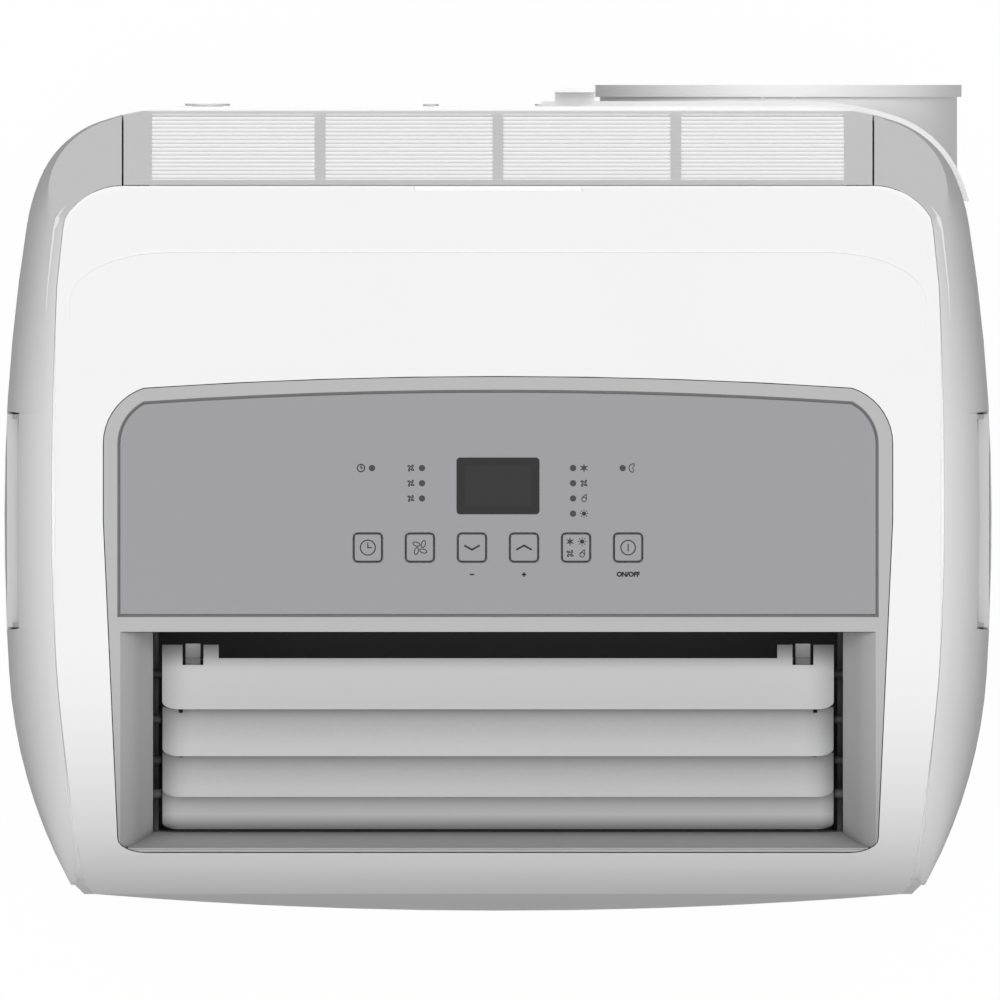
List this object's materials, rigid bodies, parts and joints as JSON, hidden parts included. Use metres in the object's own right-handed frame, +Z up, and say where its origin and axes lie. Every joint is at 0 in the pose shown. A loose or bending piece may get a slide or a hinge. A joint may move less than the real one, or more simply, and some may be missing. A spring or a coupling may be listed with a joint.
{
  "type": "portable air conditioner",
  "caption": "Tower-shaped portable air conditioner on casters, with a curved louvred outlet and control panel on top, rear filter grilles, side hand recesses and a round rear hose adaptor.",
  "frame": {"origin": "centre of the footprint on the floor, from the front bow to the lip of the hose adaptor", "axes": "+Z up, -Y towards the front with the air outlet, +X to the right as seen from the front"},
  "size_m": [0.442, 0.3696, 0.71],
  "materials": {
    "white_casing": "satin moulded plastic",
    "bezel_grey": "satin moulded plastic",
    "panel_grey": "fine satin",
    "display_dark": "polished window",
    "indicator_grey": "polished lens",
    "circuit_board": "lacquered board",
    "duct_black": "moulded foam and plastic",
    "grille_white": "satin moulded plastic",
    "adaptor_white": "satin moulded plastic",
    "filter_mesh": "woven plastic mesh",
    "inner_plastic": "moulded plastic",
    "fan_plastic": "moulded plastic",
    "coil_aluminium": "thin fins",
    "steel": "zinc plated",
    "screw_steel": "zinc plated",
    "black_shell": "satin paint",
    "rubber_black": "moulded rubber",
    "copper": "bright drawn tube",
    "fork_plastic": "moulded plastic",
    "wheel_grey": "moulded tread"
  },
  "bodies": {
    "cabinet": {"base_tray": "inner_plastic", "front_casing": "white_casing", "rear_casing": "white_casing", "shoulder_left": "white_casing", "shoulder_right": "white_casing", "outlet_bezel": "bezel_grey", "control_panel": "panel_grey", "display_window": "display_dark", "led_lenses": "indicator_grey", "control_board": "circuit_board", "outlet_duct": "duct_black", "swing_motor": "steel", "evaporator_coil": "coil_aluminium", "evaporator_scroll": "inner_plastic", "evaporator_fan_motor": "steel", "partition_tray": "inner_plastic", "condenser_coil": "coil_aluminium", "condenser_scroll": "inner_plastic", "condenser_fan_motor": "steel", "compressor": "black_shell", "compressor_feet": "rubber_black", "accumulator": "black_shell", "refrigerant_pipes": "copper", "electrical_box": "steel", "run_capacitor": "steel", "splash_motor": "steel", "exhaust_housing": "white_casing", "cord_inlet": "rubber_black", "cord_hooks": "adaptor_white", "casing_screws": "screw_steel", "handle_cup_left": "white_casing", "handle_cup_right": "white_casing"},
    "louvre_1": {"louvre_1": "bezel_grey"},
    "louvre_2": {"louvre_2": "bezel_grey"},
    "louvre_3": {"louvre_3": "bezel_grey"},
    "louvre_4": {"louvre_4": "bezel_grey"},
    "tie_bars": {"tie_bars": "bezel_grey"},
    "key_timer": {"key_timer": "panel_grey"},
    "key_fan_speed": {"key_fan_speed": "panel_grey"},
    "key_down": {"key_down": "panel_grey"},
    "key_up": {"key_up": "panel_grey"},
    "key_mode": {"key_mode": "panel_grey"},
    "key_power": {"key_power": "panel_grey"},
    "cold_fan": {"evaporator_fan_wheel": "fan_plastic"},
    "hot_fan": {"condenser_fan_wheel": "fan_plastic"},
    "splash_wheel": {"splash_wheel": "inner_plastic"},
    "upper_grille": {"upper_grille": "grille_white", "upper_filter": "filter_mesh"},
    "lower_grille": {"lower_grille": "grille_white", "lower_filter": "filter_mesh"},
    "hose_adaptor": {"exhaust_adaptor": "adaptor_white"},
    "drain_cap": {"drain_cap": "rubber_black"},
    "fork_front_left": {"caster_fork_front_left": "fork_plastic"},
    "wheel_front_left": {"caster_wheel_front_left": "wheel_grey"},
    "fork_front_right": {"caster_fork_front_right": "fork_plastic"},
    "wheel_front_right": {"caster_wheel_front_right": "wheel_grey"},
    "fork_rear_left": {"caster_fork_rear_left": "fork_plastic"},
    "wheel_rear_left": {"caster_wheel_rear_left": "wheel_grey"},
    "fork_rear_right": {"caster_fork_rear_right": "fork_plastic"},
    "wheel_rear_right": {"caster_wheel_rear_right": "wheel_grey"}
  },
  "joints": [
    {"name": "louvre_1_swing", "type": "hinge", "parent": "cabinet", "child": "louvre_1", "pos_m": [0, -0.07883, 0.67683], "axis": [-1, 0, 0], "range_deg": [0, 44]},
    {"name": "louvre_2_swing", "type": "hinge", "parent": "cabinet", "child": "louvre_2", "pos_m": [0, -0.09895, 0.67022], "axis": [-1, 0, 0], "range_deg": [0, 44]},
    {"name": "louvre_3_swing", "type": "hinge", "parent": "cabinet", "child": "louvre_3", "pos_m": [0, -0.11708, 0.65926], "axis": [-1, 0, 0], "range_deg": [0, 44]},
    {"name": "louvre_4_swing", "type": "hinge", "parent": "cabinet", "child": "louvre_4", "pos_m": [0, -0.13229, 0.64451], "axis": [-1, 0, 0], "range_deg": [0, 44]},
    {"name": "tie_bar_link", "type": "hinge", "parent": "louvre_1", "child": "tie_bars", "pos_m": [0, -0.07424, 0.67028], "axis": [-1, 0, 0], "range_deg": [-44, 0]},
    {"name": "key_timer_press", "type": "slide", "parent": "cabinet", "child": "key_timer", "axis": [0, 0, -1], "range_m": [0, 0.0008], "stiffness_N_per_m": 700, "springref_m": -0.0003},
    {"name": "key_fan_speed_press", "type": "slide", "parent": "cabinet", "child": "key_fan_speed", "axis": [0, 0, -1], "range_m": [0, 0.0008], "stiffness_N_per_m": 700, "springref_m": -0.0003},
    {"name": "key_down_press", "type": "slide", "parent": "cabinet", "child": "key_down", "axis": [0, 0, -1], "range_m": [0, 0.0008], "stiffness_N_per_m": 700, "springref_m": -0.0003},
    {"name": "key_up_press", "type": "slide", "parent": "cabinet", "child": "key_up", "axis": [0, 0, -1], "range_m": [0, 0.0008], "stiffness_N_per_m": 700, "springref_m": -0.0003},
    {"name": "key_mode_press", "type": "slide", "parent": "cabinet", "child": "key_mode", "axis": [0, 0, -1], "range_m": [0, 0.0008], "stiffness_N_per_m": 700, "springref_m": -0.0003},
    {"name": "key_power_press", "type": "slide", "parent": "cabinet", "child": "key_power", "axis": [0, 0, -1], "range_m": [0, 0.0008], "stiffness_N_per_m": 700, "springref_m": -0.0003},
    {"name": "cold_fan_spin", "type": "hinge", "parent": "cabinet", "child": "cold_fan", "pos_m": [0.025, -0.08, 0.468], "axis": [0, 1, 0], "continuous": true},
    {"name": "hot_fan_spin", "type": "hinge", "parent": "cabinet", "child": "hot_fan", "pos_m": [-0.075, 0.09, 0.23], "axis": [0, 1, 0], "continuous": true},
    {"name": "splash_wheel_spin", "type": "hinge", "parent": "cabinet", "child": "splash_wheel", "pos_m": [0.036, 0.145, 0.092], "axis": [1, 0, 0], "continuous": true},
    {"name": "upper_grille_tilt", "type": "hinge", "parent": "cabinet", "child": "upper_grille", "pos_m": [0, 0.1727, 0.6607], "axis": [-1, 0, 0], "range_deg": [0, 35]},
    {"name": "lower_grille_tilt", "type": "hinge", "parent": "cabinet", "child": "lower_grille", "pos_m": [-0.066, 0.1746, 0.1086], "axis": [-1, 0, 0], "range_deg": [0, 20]},
    {"name": "hose_adaptor_pull", "type": "slide", "parent": "cabinet", "child": "hose_adaptor", "axis": [0, 1, 0], "range_m": [0, 0.06]},
    {"name": "drain_cap_pull", "type": "slide", "parent": "cabinet", "child": "drain_cap", "axis": [0, 1, 0], "range_m": [0, 0.02]},
    {"name": "caster_front_left_swivel", "type": "hinge", "parent": "cabinet", "child": "fork_front_left", "pos_m": [-0.162, -0.1328, 0.034], "axis": [0, 0, 1], "continuous": true},
    {"name": "caster_front_left_roll", "type": "hinge", "parent": "fork_front_left", "child": "wheel_front_left", "pos_m": [-0.162, -0.1198, 0.016], "axis": [1, 0, 0], "continuous": true},
    {"name": "caster_front_right_swivel", "type": "hinge", "parent": "cabinet", "child": "fork_front_right", "pos_m": [0.162, -0.1328, 0.034], "axis": [0, 0, 1], "continuous": true},
    {"name": "caster_front_right_roll", "type": "hinge", "parent": "fork_front_right", "child": "wheel_front_right", "pos_m": [0.162, -0.1198, 0.016], "axis": [1, 0, 0], "continuous": true},
    {"name": "caster_rear_left_swivel", "type": "hinge", "parent": "cabinet", "child": "fork_rear_left", "pos_m": [-0.162, 0.1132, 0.034], "axis": [0, 0, 1], "continuous": true},
    {"name": "caster_rear_left_roll", "type": "hinge", "parent": "fork_rear_left", "child": "wheel_rear_left", "pos_m": [-0.162, 0.1262, 0.016], "axis": [1, 0, 0], "continuous": true},
    {"name": "caster_rear_right_swivel", "type": "hinge", "parent": "cabinet", "child": "fork_rear_right", "pos_m": [0.162, 0.1132, 0.034], "axis": [0, 0, 1], "continuous": true},
    {"name": "caster_rear_right_roll", "type": "hinge", "parent": "fork_rear_right", "child": "wheel_rear_right", "pos_m": [0.162, 0.1262, 0.016], "axis": [1, 0, 0], "continuous": true}
  ],
  "couplings": [
    {"joint": "louvre_2_swing", "follows": "louvre_1_swing", "ratio": 1},
    {"joint": "louvre_3_swing", "follows": "louvre_1_swing", "ratio": 1},
    {"joint": "louvre_4_swing", "follows": "louvre_1_swing", "ratio": 1},
    {"joint": "tie_bar_link", "follows": "louvre_1_swing", "ratio": -1}
  ]
}
